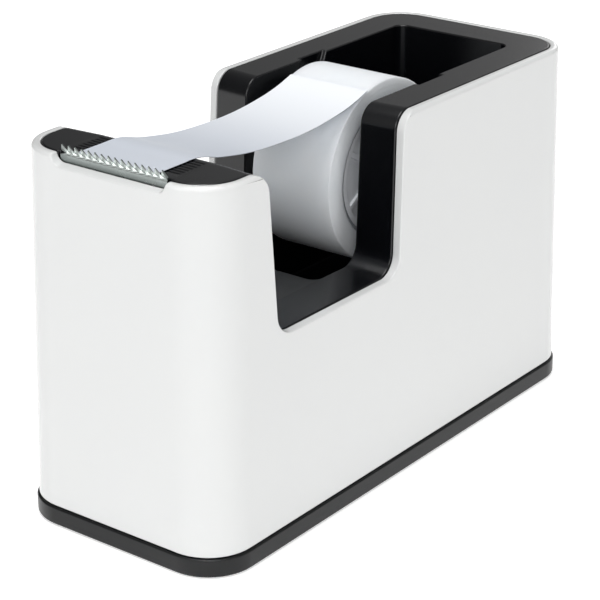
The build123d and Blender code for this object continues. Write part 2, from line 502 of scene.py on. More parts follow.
class Workpiece:
    def __init__(self, name: str) -> None:
        """Start an empty workpiece."""
        self.name = name
        self.bm = bmesh.new()

    def loft(self, outlines: Sequence[Outline], closed: bool = False) -> "Workpiece":
        """Skin a run of outlines.

        Args:
            outlines: The outlines in order.
            closed: True if the last joins the first, as in a tube; else both ends are capped.

        Returns:
            This workpiece.
        """
        loops = [outline.draw(self.bm) for outline in outlines]
        pairs = list(zip(loops, loops[1:]))
        if closed:
            pairs.append((loops[-1], loops[0]))
        for low, high in pairs:
            bmesh.ops.bridge_loops(self.bm, edges=low + high)
        if not closed:
            for loop in (loops[0], loops[-1]):
                bmesh.ops.contextual_create(self.bm, geom=loop)
        return self.outward()

    def outward(self) -> "Workpiece":
        """Turn every face outwards."""
        bmesh.ops.recalc_face_normals(self.bm, faces=self.bm.faces)
        if self.bm.calc_volume(signed=True) < 0:
            bmesh.ops.reverse_faces(self.bm, faces=self.bm.faces)
        return self

    def block(self, x: Pair, y: Pair, z: Pair) -> "Workpiece":
        """Add a block.

        Args:
            x: Its two ends in x.
            y: Its two ends in y.
            z: Its bottom and top.

        Returns:
            This workpiece.
        """
        verts = bmesh.ops.create_cube(self.bm, size=1.0)["verts"]
        bmesh.ops.scale(self.bm, vec=(x[1] - x[0], y[1] - y[0], z[1] - z[0]), verts=verts)
        middle = ((x[0] + x[1]) / 2, (y[0] + y[1]) / 2, (z[0] + z[1]) / 2)
        bmesh.ops.translate(self.bm, vec=middle, verts=verts)
        return self

    def post(self, radius: float, x: float, y: float, z: Pair) -> "Workpiece":
        """Add an upright round post.

        Args:
            radius: Its radius.
            x: Where its middle is in x.
            y: Where its middle is in y.
            z: Its bottom and top.

        Returns:
            This workpiece.
        """
        verts = bmesh.ops.create_cone(
            self.bm, cap_ends=True, segments=32, radius1=radius, radius2=radius, depth=z[1] - z[0]
        )["verts"]
        bmesh.ops.translate(self.bm, vec=(x, y, (z[0] + z[1]) / 2), verts=verts)
        return self

    def lathe(self, profile: Sequence[Pair], axle: Pair, steps: int, closed: bool) -> "Workpiece":
        """Turn a profile round an axis along X.

        Args:
            profile: Pairs of x and radius.
            axle: The axis's y and z.
            steps: How many faces go round.
            closed: True if the last point joins the first; else both ends lie on the axis.

        Returns:
            This workpiece.
        """
        verts = [self.bm.verts.new((x, axle[0], axle[1] + radius)) for x, radius in profile]
        pairs = list(zip(verts, verts[1:])) + ([(verts[-1], verts[0])] if closed else [])
        edges = [self.bm.edges.new(pair) for pair in pairs]
        bmesh.ops.spin(
            self.bm,
            geom=verts + edges,
            cent=(0.0, *axle),
            axis=AXIS_X,
            angle=math.tau,
            steps=steps,
            use_merge=True,
        )
        bmesh.ops.remove_doubles(self.bm, verts=self.bm.verts, dist=WELD)
        return self.outward()

    def transform(self, matrix: Matrix) -> "Workpiece":
        """Move or turn the whole workpiece."""
        bmesh.ops.transform(self.bm, matrix=matrix, verts=self.bm.verts)
        return self

    def stand_in(self) -> Object:
        """Put a copy of the mesh into the scene.

        Returns:
            The copy's object.
        """
        mesh = bpy.data.meshes.new(self.name)
        self.bm.to_mesh(mesh)
        made = bpy.data.objects.new(self.name, mesh)
        bpy.context.scene.collection.objects.link(made)
        return made

    def combine(self, how: Cut, tools: Iterable["Workpiece"]) -> "Workpiece":
        """Cut other workpieces away from this one, or weld them onto it.

        Args:
            how: Which of the two.
            tools: The other workpieces, used up by this.

        Returns:
            This workpiece.
        """
        base = self.stand_in()
        helpers = [tool.stand_in() for tool in tools]
        for helper in helpers:
            step = base.modifiers.new("combine", "BOOLEAN")
            step.operation = how.value
            step.solver = "EXACT"
            step.object = helper
        evaluated = base.evaluated_get(bpy.context.evaluated_depsgraph_get())
        result = bpy.data.meshes.new_from_object(evaluated)
        self.bm.clear()
        self.bm.from_mesh(result)
        bpy.data.meshes.remove(result)
        for used in (base, *helpers):
            bpy.data.meshes.remove(used.data)
        bmesh.ops.remove_doubles(self.bm, verts=self.bm.verts, dist=WELD)
        bmesh.ops.dissolve_degenerate(self.bm, edges=self.bm.edges, dist=WELD)
        return self

    def soften(
        self,
        width: float,
        segments: int = 3,
        where: Callable[[BMEdge], bool] = lambda edge: True,
    ) -> "Workpiece":
        """Round the sharp edges.

        Args:
            width: How wide the rounding is.
            segments: How many faces it has.
            where: A test of which edges to take.

        Returns:
            This workpiece.
        """
        self.bm.normal_update()
        sharp = [e for e in self.bm.edges if e.is_manifold and e.calc_face_angle(0.0) > SHARP_TURN]
        bmesh.ops.bevel(
            self.bm,
            geom=[edge for edge in sharp if where(edge)],
            offset=width,
            offset_type="OFFSET",
            segments=segments,
            profile=0.5,
            affect="EDGES",
            clamp_overlap=False,
            material=-1,
        )
        return self

    def finish(
        self,
        finish: Finish,
        body: Body,
        slot: Slot,
        nodes: Sequence[str],
        *,
        flat: bool = False,
        more: Sequence[Finish] = (),
    ) -> Object:
        """Put the piece into the scene in metres, with its finish, body and CAD nodes.

        Args:
            finish: What it is made of.
            body: What it moves with.
            slot: The record's material slot; not used.
            nodes: The CAD nodes that it replaces.
            flat: True to leave its faces flat, without smoothed normals.
            more: Finishes for the faces whose material index isn't zero.

        Returns:
            The finished object.
        """
        bmesh.ops.scale(self.bm, vec=(MM, MM, MM), verts=self.bm.verts)
        piece = self.stand_in()
        self.bm.free()
        for each in (finish, *more):
            piece.data.materials.append(each.material())
        if not flat:
            for polygon in piece.data.polygons:
                polygon.use_smooth = True
            piece.modifiers.new("even_normals", "WEIGHTED_NORMAL").keep_sharp = True
        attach(piece, body.value)
        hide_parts(*nodes)
        log.info("%s: %d faces, rides on %s", piece.name, len(piece.data.polygons), body.value)
        return piece


# ---------------------------------------------------------------- sub-assemblies


@dataclass
class Notch:
    """The U cut that runs right across the body and bares the roll."""

    rim: float
    front_top: float = -44.4
    front_low: float = -42.2
    rear_low: float = -5.2
    rear_top: float = -3.7
    floor: float = 44.0
    radius: float = 4.0
    lead: float = 8.0
    straight: float = 14.1
    reach: float = 27.0
    flare: float = 0.9
    clear: float = 0.01
    steps: int = 10

    def tool(self, grow: float = 0.0) -> Workpiece:
        """Make the block that the notch takes away.

        Args:
            grow: How much bigger than the notch it is, for the hollow under the liner's walls.

        Returns:
            The block as a workpiece.
        """
        work = Workpiece("notch_tool")
        top = self.rim + self.clear
        front = self.front_top - grow - self.lead
        rear = self.rear_top + grow + self.lead
        corners = (
            (front, top + OVERCUT),
            (front, top),
            (self.front_top - grow, top),
            (self.front_low - grow, self.floor - grow),
            (self.rear_low + grow, self.floor - grow),
            (self.rear_top + grow, top),
            (rear, top),
            (rear, top + OVERCUT),
        )
        verts = [work.bm.verts.new((-self.straight, y, z)) for y, z in corners]
        work.bm.faces.new(verts)
        round_corners(work.bm, verts[2:6], self.radius, self.steps)
        work.bm.faces.ensure_lookup_table()
        near = work.bm.faces[0]
        self.pull(work.bm, near, 2 * self.straight, 0.0)
        near = min(work.bm.faces, key=lambda f: f.calc_center_median().x)
        self.pull(work.bm, near, self.straight - self.reach, self.flare)
        far = max(work.bm.faces, key=lambda f: f.calc_center_median().x)
        self.pull(work.bm, far, self.reach - self.straight, self.flare)
        return work.outward()

    def pull(self, bm: BMesh, face: BMFace, along: float, flare: float) -> None:
        """Draw one end face out along X.

        Args:
            bm: The tool's mesh.
            face: The end face.
            along: How far it goes.
            flare: How much it opens on the way.
        """
        joined = any(len(edge.link_faces) > 1 for edge in face.edges)
        verts = draw_out(bm, [face])
        if joined:
            bmesh.ops.delete(bm, geom=[face], context="FACES_ONLY")
        bmesh.ops.translate(bm, vec=(along, 0.0, 0.0), verts=verts)
        middle = (self.front_low + self.rear_low) / 2
        half = (self.rear_low - self.front_low) / 2
        deep = self.rim - self.floor
        bmesh.ops.scale(
            bm,
            vec=(1.0, 1 + flare / half, 1 + flare / deep),
            space=Matrix.Translation((0.0, -middle, -self.rim)),
            verts=verts,
        )


@dataclass
class BladeSeat:
    """Where the blade stands: a plane that leans forwards across the front of the liner."""

    y: float = -59.2
    z: float = 75.3
    lean: float = 8.0
    width: float = 25.4
    thick: float = 0.5
    rise: float = 1.1
    drop: float = 9.3

    def plane(self) -> Matrix:
        """Place the blade.

        Returns:
            A frame with X along the teeth, Y up the blade and Z out of its front face.
        """
        turn = math.radians(90.0 + self.lean)
        return Matrix.Translation((0.0, self.y, self.z)) @ Matrix.Rotation(turn, 4, "X")


@dataclass
class Shell:
    """The white sleeve, open at the top and bottom."""

    form: Form
    notch: Notch
    bottom: float = 4.2
    wall: float = 1.8
    round_top: float = 0.9
    round_steps: int = 5
    cut_round: float = 0.3
    recess_half: float = 12.9
    recess_floor: float = 75.1
    recess_slope: float = 0.325
    recess_radius: float = 1.3
    recess_steps: int = 6
    recess_over: float = 3.0
    recess_back: float = -57.0
    recess_depth: float = 7.0

    def recess(self) -> Workpiece:
        """Make the tool for the scoop in the front wall, which lets the blade show.

        Returns:
            The tool as a workpiece.
        """
        work = Workpiece("recess_tool")
        wide = self.recess_half + self.recess_radius
        top = self.form.height + self.recess_over
        corners = (
            (-self.recess_half, self.recess_floor),
            (self.recess_half, self.recess_floor),
            (wide, top),
            (-wide, top),
        )
        verts = [work.bm.verts.new((x, self.recess_back, z)) for x, z in corners]
        work.bm.faces.new(verts)
        round_corners(work.bm, verts[:2], self.recess_radius, self.recess_steps)
        way = (0.0, -self.recess_depth, -self.recess_slope * self.recess_depth)
        bmesh.ops.translate(work.bm, vec=way, verts=draw_out(work.bm, list(work.bm.faces)))
        return work.outward()

    def build(self) -> Workpiece:
        """Make the sleeve with its rounded rim, then cut the notch and the scoop.

        Returns:
            The shell as a workpiece.
        """
        top = self.form.height
        outlines = [self.form.at(self.bottom)]
        for step in range(self.round_steps + 1):
            turn = math.pi / 2 * step / self.round_steps
            z = top - self.round_top * (1 - math.sin(turn))
            outlines.append(self.form.at(z, self.round_top * (1 - math.cos(turn))))
        outlines.append(self.form.at(top - HAIR, self.wall))
        outlines.append(self.form.at(self.bottom + HAIR, self.wall))
        work = Workpiece("shell").loft(outlines, closed=True)
        work.combine(Cut.AWAY, [self.notch.tool(), self.recess()])
        return work.soften(self.cut_round)

    def dress(self, work: Workpiece) -> None:
        """Polished white styrene: it mirrors the room softly and hides its grain."""
        white = MouldedPlastic(
            "gloss_white_styrene", "#D8D9D8", "#D6D7D7", 0.16,
            smear=0.02, grain=2.2, depth=0.002, coat=0.3,
        )
        work.finish(white, Body.DISPENSER, Slot.SHELL, ["outer_shell"])


@dataclass
class Liner:
    """The black moulding inside the shell: deck, rear rim, ledges and the roll well."""

    form: Form
    notch: Notch
    seat: BladeSeat
    axle: Pair
    inset: float = 1.95
    wall: float = 1.6
    bottom: float = 5.0
    rim_plate: float = 2.4
    web: float = 2.4
    well_half: float = 14.1
    well_front: float = -18.0
    well_rear: float = 50.2
    well_floor: float = 29.0
    well_radius: float = 2.2
    well_floor_thick: float = 2.0
    hollow_below: float = 2.0
    hollow_radius: float = 0.5
    slot_reach: float = 32.0
    slot_half: float = 3.9
    slot_depth: float = 1.05
    slot_slope: float = 0.43
    edge: float = 0.35
    groove_count: int = 7
    groove_pitch: float = 1.13
    groove_width: float = 0.6
    groove_depth: float = 0.5
    groove_first: float = -49.0
    groove_half: float = 12.6
    groove_over: float = 3.0
    blade_wall: tuple[Pair, Pair, Pair] = ((-15.5, 15.5), (-60.0, -55.4), (60.0, 80.0))
    seat_half: float = 13.4
    seat_depth: float = 11.0
    seat_over: float = 4.0
    slit_half: float = 10.2
    slit_width: float = 1.1
    slit_play: float = 0.3
    solid_to: float = 10.0

    def well(self, grow: float, floor: float, radius: float) -> Workpiece:
        """Make the roll well as a block.

        Args:
            grow: How much bigger it is on each side.
            floor: The height of its floor.
            radius: The radius of its corners in plan.

        Returns:
            The block as a workpiece.
        """
        middle = (self.well_front + self.well_rear) / 2
        half = (self.well_rear - self.well_front) / 2 + grow
        across = self.well_half + grow
        top = self.form.height + OVERCUT
        return Workpiece("well_tool").loft(
            [Outline(across, half, radius, z, middle) for z in (floor, top)]
        )

    def hollow(self) -> Workpiece:
        """Make the space under the deck and behind the skirt.

        Returns:
            The space as a workpiece.
        """
        inset = self.inset + self.wall
        heights = (self.bottom - self.hollow_below, self.form.height - self.rim_plate)
        work = Workpiece("hollow_tool").loft([self.form.at(z, inset) for z in heights])
        walls = [
            self.notch.tool(self.web),
            self.well(self.web, self.well_floor - self.well_floor_thick, self.hollow_radius),
            Workpiece("blade_wall").block(*self.blade_wall),
        ]
        return work.combine(Cut.AWAY, walls)

    def slot(self) -> Workpiece:
        """Make the tool that cuts the stub axles' leaning slots in both well walls at once.

        Returns:
            The tool as a workpiece.
        """
        work = Workpiece("slot_tool")
        half = self.slot_reach / 2
        verts = bmesh.ops.create_grid(work.bm, x_segments=1, y_segments=1, size=1.0)["verts"]
        bmesh.ops.scale(work.bm, vec=(self.slot_half, half, 1.0), verts=verts)
        bmesh.ops.translate(work.bm, vec=(0.0, half - self.slot_half, 0.0), verts=verts)
        low = [v for v in verts if v.co.y < 0]
        round_corners(work.bm, low, self.slot_half - 0.01, CORNER_STEPS)
        depth = 2 * (self.well_half + self.slot_depth)
        far = draw_out(work.bm, list(work.bm.faces))
        bmesh.ops.translate(work.bm, vec=(0.0, 0.0, depth), verts=far)
        bmesh.ops.recalc_face_normals(work.bm, faces=work.bm.faces)
        upright = Matrix(((0, 0, 1, -depth / 2), (1, 0, 0, 0), (0, 1, 0, 0), (0, 0, 0, 1)))
        lean = Matrix.Rotation(-math.atan(self.slot_slope), 4, "X")
        return work.transform(Matrix.Translation((0.0, *self.axle)) @ lean @ upright)

    def blade_cuts(self) -> list[Workpiece]:
        """Make the tools for the blade's seat and for the slit that its foot hooks into.

        Returns:
            Both tools.
        """
        seat = Workpiece("seat_tool").block(
            (-self.seat_half, self.seat_half),
            (-self.seat_depth, OVERCUT),
            (-self.seat.thick, self.seat_over),
        )
        middle = self.slit_play - self.seat.drop
        slit = Workpiece("slit_tool").block(
            (-self.slit_half, self.slit_half),
            (middle - self.slit_width / 2, middle + self.slit_width / 2),
            (-OVERCUT, self.seat.thick),
        )
        return [tool.transform(self.seat.plane()) for tool in (seat, slit)]

    def grooves(self) -> Workpiece:
        """Make the tool for the deck's fine grooves, which keep the tape from sticking down.

        Returns:
            The tool as a workpiece.
        """
        work = Workpiece("groove_tool")
        low = self.form.height - self.groove_depth
        half = self.groove_width / 2
        for index in range(self.groove_count):
            y = self.groove_first - index * self.groove_pitch
            across = (-self.groove_half, self.groove_half)
            work.block(across, (y - half, y + half), (low, low + self.groove_over))
        return work

    def build(self) -> Workpiece:
        """Hollow the drafted block, cut the notch, well and slots, then round the edges.

        Returns:
            The liner as a workpiece.
        """
        heights = (self.bottom, self.form.height)
        work = Workpiece("liner").loft([self.form.at(z, self.inset) for z in heights])
        work.combine(Cut.AWAY, [self.hollow()])
        well = self.well(0.0, self.well_floor, self.well_radius)
        work.combine(Cut.AWAY, [self.notch.tool(), well, self.slot(), *self.blade_cuts()])
        work.soften(self.edge, where=lambda e: min(v.co.z for v in e.verts) > self.solid_to)
        work.combine(Cut.AWAY, [self.grooves()])
        # The notch's floor and slopes keep a crease where they start to flare.
        for edge in work.bm.edges:
            crease = all(abs(abs(v.co.x) - self.notch.straight) < 0.05 for v in edge.verts)
            if crease and self.notch.front_top < edge.verts[0].co.y < self.notch.rear_top:
                edge.smooth = False
        return work

    def dress(self, work: Workpiece) -> None:
        """Satin black ABS: spark-eroded grain breaks up its reflections."""
        black = MouldedPlastic(
            "satin_black_abs", "#040508", "#06070A", 0.24, smear=0.006, grain=0.28, depth=0.005
        )
        work.finish(black, Body.DISPENSER, Slot.LINER, ["inner_liner"])


@dataclass
class Base:
    """The black tray that carries the weights: a visible band, and a lip inside the liner."""

    form: Form
    foot: float = 0.25
    band_top: float = 4.0
    radius: float = 10.0
    lip_inset: float = 3.75
    lip_wall: float = 1.6
    lip_top: float = 9.0
    floor: float = 2.8
    sink: float = 0.5
    mat_half: Point = (21.5, 59.0, 7.0)
    mat_top: float = 1.2
    low_edge: tuple[Pair, ...] = ((0.0, 0.4), (0.12, 0.15), (0.4, 0.0))
    high_edge: tuple[Pair, ...] = ((-0.35, 0.0), (-0.1, 0.1), (0.0, 0.35))
    screw_x: float = 16.5
    screw_rows: Pair = (-52.0, 54.0)
    post_radius: float = 4.0
    hole_radius: float = 1.7
    head_radius: float = 3.1
    head_depth: float = 1.8
    ribs_y: Point = (-47.4, -20.9, 49.6)
    rib_half: float = 13.0
    rib_thick: float = 1.6
    rib_top: float = 8.0

    def band(self, z: float, inset: float) -> Outline:
        """The band's outline at one height."""
        half_x, half_y = self.form.width / 2, self.form.length / 2
        return Outline(half_x - inset, half_y - inset, self.radius - inset, z)

    def build(self) -> Workpiece:
        """Skin the tray from the mat's recess, round the band and the lip, to its floor.

        Returns:
            The tray as a workpiece, with its screw posts and its ribs.
        """
        lip = self.lip_inset
        outlines = [
            Outline(*self.mat_half, self.mat_top),
            Outline(*self.mat_half, self.foot + HAIR),
            *(self.band(self.foot + up, inset) for up, inset in self.low_edge),
            *(self.band(self.band_top + up, inset) for up, inset in self.high_edge),
            self.form.at(self.band_top + HAIR, lip),
            self.form.at(self.lip_top, lip),
            self.form.at(self.lip_top + HAIR, lip + self.lip_wall),
            self.form.at(self.floor, lip + self.lip_wall),
        ]
        work = Workpiece("base").loft(outlines)
        posts, holes = Workpiece("posts"), Workpiece("holes")
        foot = self.floor - self.sink
        for y in self.screw_rows:
            for x in (-self.screw_x, self.screw_x):
                posts.post(self.post_radius, x, y, (foot, self.lip_top))
                holes.post(self.hole_radius, x, y, (self.sink, self.lip_top + OVERCUT))
                deep = (self.sink, self.mat_top + self.head_depth)
                wide = Workpiece("wide_hole").post(self.head_radius, x, y, deep)
                holes.combine(Cut.ONTO, [wide])
        ribs = Workpiece("ribs")
        half = self.rib_thick / 2
        for y in self.ribs_y:
            ribs.block((-self.rib_half, self.rib_half), (y - half, y + half), (foot, self.rib_top))
        work.combine(Cut.ONTO, [posts, ribs])
        return work.combine(Cut.AWAY, [holes])

    def dress(self, work: Workpiece) -> None:
        """Satin black ABS, a shade duller than the liner."""
        black = MouldedPlastic(
            "satin_black_tray", "#0B0C0D", "#0E0F11", 0.34,
            smear=0.03, gloss=0.3, grain=0.35, depth=0.008,
        )
        work.finish(black, Body.DISPENSER, Slot.BASE, ["base_tray"])


@dataclass
class Blade:
    """The cutter: a thin steel strip whose front is ground into saw teeth."""

    seat: BladeSeat
    tooth_count: int = 16
    tooth_height: float = 1.2
    tip_at: float = 0.3
    ground: float = 0.4
    slant: float = 0.75
    root: float = 0.35
    edge_back: float = 0.85
    tip_back: float = 0.25
    valley_back: float = 0.1
    crown: float = 0.15
    foot_depth: float = 3.5
    foot_inset: float = 3.0
    facet_below: float = 0.3
    facet_turn: Pair = (0.3, 0.9999)

    def tooth(self, work: Workpiece, left: float) -> None:
        """Add one tooth's column of the front face, with its two ground facets.

        Args:
            work: The blade so far.
            left: Where the column starts.
        """
        pitch = self.seat.width / self.tooth_count
        half = self.seat.thick / 2
        verts = bmesh.ops.create_grid(work.bm, x_segments=2, y_segments=3, size=1.0)["verts"]
        low = self.seat.rise - self.ground
        rows = (-self.seat.drop, low - self.root, low, self.seat.rise)
        columns = (0.0, self.tip_at, 1.0)
        for vert in verts:
            row = round((vert.co.y + 1) * 1.5)
            column = round(vert.co.x + 1)
            x = left + pitch * columns[column]
            y, z = rows[row], half
            if row == 3:
                z = -half * self.edge_back
                if column == 1:
                    y, z = y + self.tooth_height, half * self.tip_back
            elif row == 2:
                x += pitch * self.slant
                if column == 1:
                    y += self.crown
                else:
                    z = half * self.valley_back
            x = max(-self.seat.width / 2, min(self.seat.width / 2, x))
            vert.co = (x, y, z)

    def build(self) -> Workpiece:
        """Lay the teeth side by side, thicken the strip and weld on its folded foot.

        Returns:
            The blade as a workpiece.
        """
        work = Workpiece("blade")
        width = self.seat.width
        for index in range(self.tooth_count):
            self.tooth(work, -width / 2 + index * width / self.tooth_count)
        bmesh.ops.remove_doubles(work.bm, verts=work.bm.verts, dist=WELD)
        back = draw_out(work.bm, list(work.bm.faces))
        half = self.seat.thick / 2
        bmesh.ops.scale(work.bm, vec=(1.0, 1.0, 0.0), verts=back)
        bmesh.ops.translate(work.bm, vec=(0.0, 0.0, -half), verts=back)
        bmesh.ops.recalc_face_normals(work.bm, faces=work.bm.faces)
        foot = Workpiece("foot").block(
            (self.foot_inset - width / 2, width / 2 - self.foot_inset),
            (-self.seat.drop, self.seat.thick - self.seat.drop),
            (-half - self.foot_depth, 0.0),
        )
        work.combine(Cut.ONTO, [foot])
        work.bm.normal_update()
        flat, square = self.facet_turn
        low = self.seat.rise - self.ground - self.facet_below
        # Material 1, the lighter ground steel with its painted highlight, goes on the ground
        # facets.
        for face in work.bm.faces:
            ground = face.calc_center_median().y > low
            face.material_index = int(ground and flat < face.normal.z < square)
        return work.transform(self.seat.plane())

    def dress(self, work: Workpiece) -> None:
        """Dull rolled strip, with facets that the grinding wheel left finely matt; their lighter
        colour is partly the ground steel's own and partly a painted highlight.
        """
        strip = RolledSteel("rolled_strip_steel", "#9AA09E", "#8E9593", 0.28, smear=0.05, patch=4.0)
        # Painted highlight: the ground facets get a lighter steel colour than the strip, on top of
        # the grinding's own brightness.
        facets = RolledSteel("ground_steel_painted_highlight", "#D3D8D6", "#C9CFCC", 0.38, smear=0.04, patch=2.0)
        work.finish(strip, Body.DISPENSER, Slot.BLADE, ["cutter_blade"], flat=True, more=(facets,))


@dataclass
class Hub:
    """The two-part spool that carries the tape's core in the well."""

    axle: Pair
    rim: float = 12.9
    face: float = 8.7
    dish: float = 8.0
    rib_top: float = 8.5
    boss: float = 5.3
    axle_radius: float = 3.8
    axle_end: float = 14.75
    inner_face: float = 6.9
    inner_rim: float = 11.4
    rim_width: float = 1.3
    chamfer: float = 0.5
    joint: float = 0.05
    rib_foot: float = 7.4
    rib_half: float = 0.6
    rib_reach: float = 11.9
    edge: float = 0.18
    steps: int = 72
    socket: Point = (0.5, 10.95, 9.45)
    spigot: Point = (-4.0, 9.4, 7.9)

    def half(self, name: str, side: int, plug: Point) -> Workpiece:
        """Make one half of the spool.

        Args:
            name: The piece's name.
            side: 1 for the +X half, -1 for the other.
            plug: Where the ring inside ends, then its outer and its inner radius.

        Returns:
            The half as a workpiece.
        """
        end, outer, inner = plug
        tread = self.rim - self.rim_width
        profile = [
            (self.axle_end, 0.0),
            (self.axle_end, self.axle_radius - self.chamfer),
            (self.axle_end - self.chamfer, self.axle_radius),
            (self.rib_top, self.axle_radius),
            (self.rib_top, self.boss),
            (self.dish, self.boss),
            (self.dish, tread),
            (self.face, tread),
            (self.face, self.rim),
            (self.joint, self.rim),
            (self.joint, self.inner_rim),
            (self.inner_face, self.inner_rim),
            (self.inner_face, outer),
            (end, outer),
            (end, inner),
            (self.inner_face, inner),
            (self.inner_face, 0.0),
        ]
        work = Workpiece(name).lathe(profile, self.axle, self.steps, closed=False)
        ribs = []
        for turn in range(3):
            rib = Workpiece("rib").block(
                (self.rib_foot, self.rib_top),
                (-self.rib_half, self.rib_half),
                (-self.rib_reach, self.rib_reach),
            )
            spin = Matrix.Rotation(math.pi / 3 * turn, 4, "X")
            ribs.append(rib.transform(Matrix.Translation((0.0, *self.axle)) @ spin))
        work.combine(Cut.ONTO, ribs)
        outside = self.inner_face + self.chamfer
        work.soften(self.edge, segments=2, where=lambda e: min(v.co.x for v in e.verts) > outside)
        if side < 0:
            work.transform(Matrix.Scale(-1.0, 4, AXIS_X))
            bmesh.ops.reverse_faces(work.bm, faces=work.bm.faces)
        return work

    def build(self) -> tuple[Workpiece, Workpiece]:
        """Make the left half with its spigot, and the right one with the socket for it."""
        left = self.half("hub_left_half", -1, self.spigot)
        return left, self.half("hub_right_half", 1, self.socket)

    def dress(self, halves: tuple[Workpiece, Workpiece]) -> None:
        """White polypropylene with a waxy face."""
        for work, node in zip(halves, ("hub_left", "hub_right")):
            white = MouldedPlastic(
                "waxy_white_polypropylene", "#F2F4F8", "#EBEEF3", 0.4,
                smear=0.04, grain=0.5, depth=0.01,
            )
            work.finish(white, Body.ROLL, Slot.HUB, [node])


@dataclass
class TapeRoll:
    """The wound tape on its core."""

    axle: Pair
    outside: float
    half_width: float = 9.5
    bore: float = 14.1
    core_outer: float = 14.05
    core_inner: float = 12.95
    core_recess: float = 0.6
    core_edge: float = 0.25
    core_steps: int = 96
    side_rings: int = 22
    side_edge: float = 0.06
    wander: float = 0.045
    steps: int = 128

    def build(self) -> tuple[Workpiece, Workpiece]:
        """Turn the core with its rounded rims, and the roll with its slightly uneven sides.

        Returns:
            The core and the roll.
        """
        half = self.half_width
        end, edge = half - self.core_recess, self.core_edge
        rims = (
            (end - edge, self.core_inner),
            (end, self.core_inner + edge),
            (end, self.core_outer - edge),
            (end - edge, self.core_outer),
        )
        core_profile = [*rims, *((-x, r) for x, r in reversed(rims))]
        core = Workpiece("core").lathe(core_profile, self.axle, self.core_steps, closed=True)
        wind = random.Random(7)
        profile = []
        for side in (1, -1):
            run = []
            for ring in range(self.side_rings + 1):
                radius = self.bore + (self.outside - self.bore) * ring / self.side_rings
                inside = 0 < ring < self.side_rings
                slack = wind.uniform(0.0, self.wander) if inside else self.side_edge
                run.append((side * (half - slack), radius))
            profile += run if side > 0 else run[::-1]
        roll = Workpiece("wound_roll").lathe(profile, self.axle, self.steps, closed=True)
        return core, roll

    def dress(self, parts: tuple[Workpiece, Workpiece]) -> None:
        """Grey styrene core, and milky film wound on it."""
        core, roll = parts
        grey = MouldedPlastic(
            "grey_core_styrene", "#9A9FA5", "#92979D", 0.35, grain=0.6, depth=0.008
        )
        core.finish(grey, Body.ROLL, Slot.CORE, ["tape_core"])
        film = WoundFilm(
            "wound_matt_film", "#F5F9FF", "#EEF4FE", 0.4, patch=6.0, veil=0.6, axle=self.axle
        )
        roll.finish(film, Body.ROLL, Slot.TAPE, ["tape_roll"])


@dataclass
class FreeTape:
    """The tape from the roll to the blade: a slack curve, then flat on the deck."""

    axle: Pair
    outside: float
    deck: float
    half_width: float = 9.5
    thick: float = 0.12
    lift: float = 0.13
    leave: float = 19.0
    pull: float = 3.5
    way: tuple[Pair, ...] = ((-5.0, 73.45), (-26.0, 72.6), (-40.5, 74.4), (-47.2, 76.05))
    flat_from: float = -52.0
    end: float = -58.5
    steps: int = 10

    def build(self) -> Workpiece:
        """Follow the way in side view, then draw it out to the tape's width and thicken it.

        Returns:
            The free tape as a workpiece.
        """
        turn = math.radians(self.leave)
        radius = self.outside + self.lift
        start = (self.axle[0] - radius * math.sin(turn), self.axle[1] + radius * math.cos(turn))
        flat = self.deck + self.lift
        points = [start, *self.way, (self.flat_from, flat), (self.end, flat)]
        curve = bpy.data.curves.new("way", "CURVE")
        curve.dimensions = "3D"
        spline = curve.splines.new("BEZIER")
        spline.bezier_points.add(len(points) - 1)
        for point, (y, z) in zip(spline.bezier_points, points):
            point.co = (0.0, y, z)
            point.handle_left_type = point.handle_right_type = "AUTO"
        first = spline.bezier_points[0]
        first.handle_left_type = first.handle_right_type = "FREE"
        tangent = Vector((0.0, -math.cos(turn), -math.sin(turn)))
        first.handle_right = first.co + tangent * self.pull
        first.handle_left = first.co * 2 - first.handle_right
        spline.resolution_u = self.steps
        holder = bpy.data.objects.new("way", curve)
        bpy.context.scene.collection.objects.link(holder)
        path = bpy.data.meshes.new_from_object(holder)
        work = Workpiece("free_tape")
        work.bm.from_mesh(path)
        bpy.data.objects.remove(holder)
        bpy.data.curves.remove(curve)
        bpy.data.meshes.remove(path)
        work.transform(Matrix.Translation((-self.half_width, 0.0, 0.0)))
        edges = list(work.bm.edges)
        made = bmesh.ops.extrude_edge_only(work.bm, edges=edges)["geom"]
        across = [v for v in made if isinstance(v, BMVert)]
        bmesh.ops.translate(work.bm, vec=(2 * self.half_width, 0.0, 0.0), verts=across)
        bmesh.ops.solidify(work.bm, geom=list(work.bm.faces), thickness=self.thick)
        return work.outward()

    def dress(self, work: Workpiece) -> None:
        """Milky film, bluer than the roll and darker by painted shade, fading into painted light as
        white as the roll's near it.
        """
        start = self.axle[0] - self.outside * math.sin(math.radians(self.leave))
        # The film's darker colour is painted shade, and its white near the roll is painted light.
        film = LeaderFilm(
            "matt_acetate_film", "#D0D5DE", "#CCD2DB", 0.38,
            patch=8.0, painted_light_colour="#F6F9FD", roll_end=start,
        )
        work.finish(film, Body.CARRIER, Slot.TAPE, ["tape_leader"])


